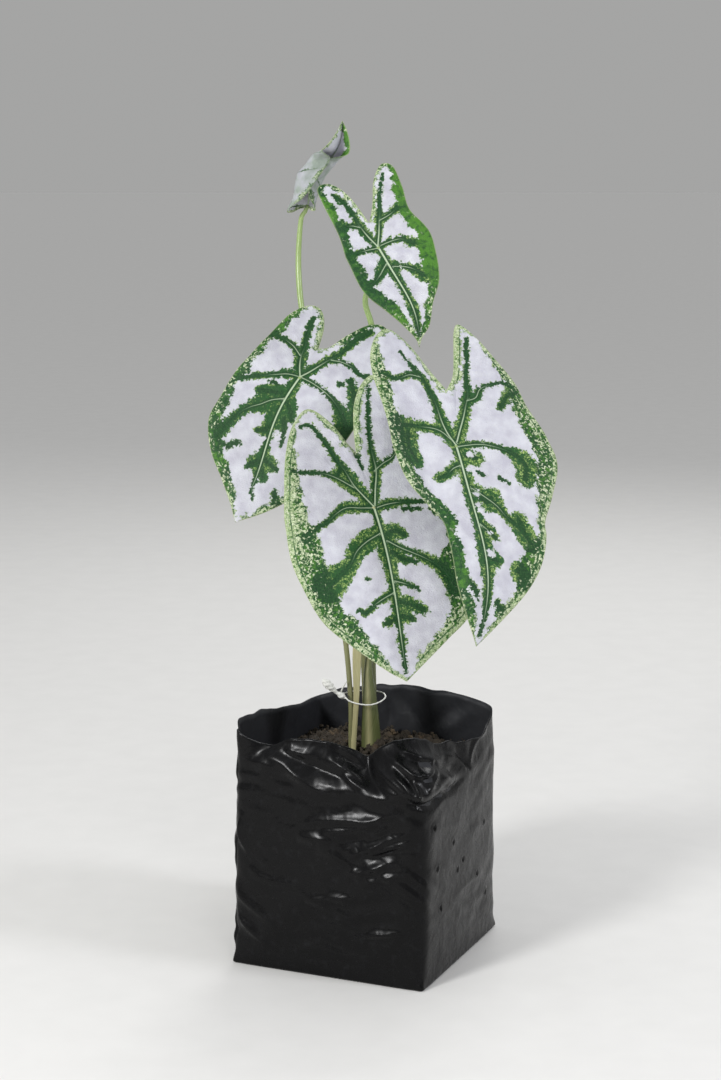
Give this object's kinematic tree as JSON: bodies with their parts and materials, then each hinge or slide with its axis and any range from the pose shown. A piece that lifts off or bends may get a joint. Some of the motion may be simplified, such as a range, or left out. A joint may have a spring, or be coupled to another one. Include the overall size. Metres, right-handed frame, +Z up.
{
  "type": "potted caladium plant",
  "caption": "Caladium houseplant with large white and green heart-shaped leaves on slender stalks, growing in a square black film grow bag of dark soil.",
  "frame": {"origin": "centre of the grow bag's flat bottom, which is where the plant stands", "axes": "+Z up along the plant, -Y is the side the leaves face, +X to the right of someone looking at the leaves' faces"},
  "size_m": [0.2039, 0.1884, 0.501],
  "materials": {
    "black_film": "blown black polyethylene film, creased and shiny where stretched",
    "soil_mix": "dark crumbly potting mix, matt",
    "tuber_skin": "brown matt tuber skin",
    "petiole_flesh": "smooth living stalk, satin",
    "variegated_leaf": "living leaf blade, white patches between green veins, satin above and duller beneath",
    "white_string": "thin white string"
  },
  "bodies": {
    "root": {"grow_bag": "black_film", "soil": "soil_mix", "tuber": "tuber_skin", "petiole_front": "petiole_flesh", "petiole_right": "petiole_flesh", "petiole_left": "petiole_flesh", "petiole_upper": "petiole_flesh", "petiole_top": "petiole_flesh", "blade_front": "variegated_leaf", "blade_right": "variegated_leaf", "blade_left": "variegated_leaf", "blade_upper": "variegated_leaf", "blade_top": "variegated_leaf", "stem_tie": "white_string"}
  },
  "joints": []
}
